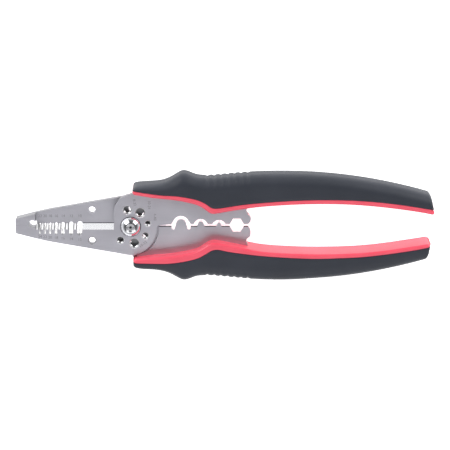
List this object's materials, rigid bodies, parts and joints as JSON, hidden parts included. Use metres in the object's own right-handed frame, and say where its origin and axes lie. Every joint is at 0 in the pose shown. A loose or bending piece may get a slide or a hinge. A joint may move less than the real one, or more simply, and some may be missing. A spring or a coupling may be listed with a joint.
{
  "type": "wire stripper",
  "caption": "Flat steel wire stripper, cutter and crimper, with a plier nose, bolt-cutting holes round a screw pivot and curved two-colour grips.",
  "frame": {"origin": "on the pivot axis, in the plane where the two steel halves lap each other", "axes": "+X from the pivot towards the handles, +Y towards the upper handle, +Z out of the front face; the tool lies flat and closed"},
  "size_m": [0.2149, 0.0565, 0.017],
  "materials": {
    "blade_steel": "satin, lightly bead blasted",
    "pivot_chrome": "bright plated",
    "grip_red": "semi-gloss moulded",
    "grip_black": "fine matt moulded"
  },
  "bodies": {
    "rear_half": {"rear_blade": "blade_steel", "pivot_screw": "pivot_chrome", "pivot_washer": "pivot_chrome", "pivot_nut": "pivot_chrome", "lower_grip_core": "grip_red", "lower_grip_cover": "grip_black"},
    "front_half": {"front_blade": "blade_steel", "upper_grip_core": "grip_red", "upper_grip_cover": "grip_black"}
  },
  "joints": [
    {"name": "pivot", "type": "hinge", "parent": "rear_half", "child": "front_half", "pos_m": [0, 0, 0], "axis": [0, 0, 1], "range_deg": [0, 28]}
  ]
}
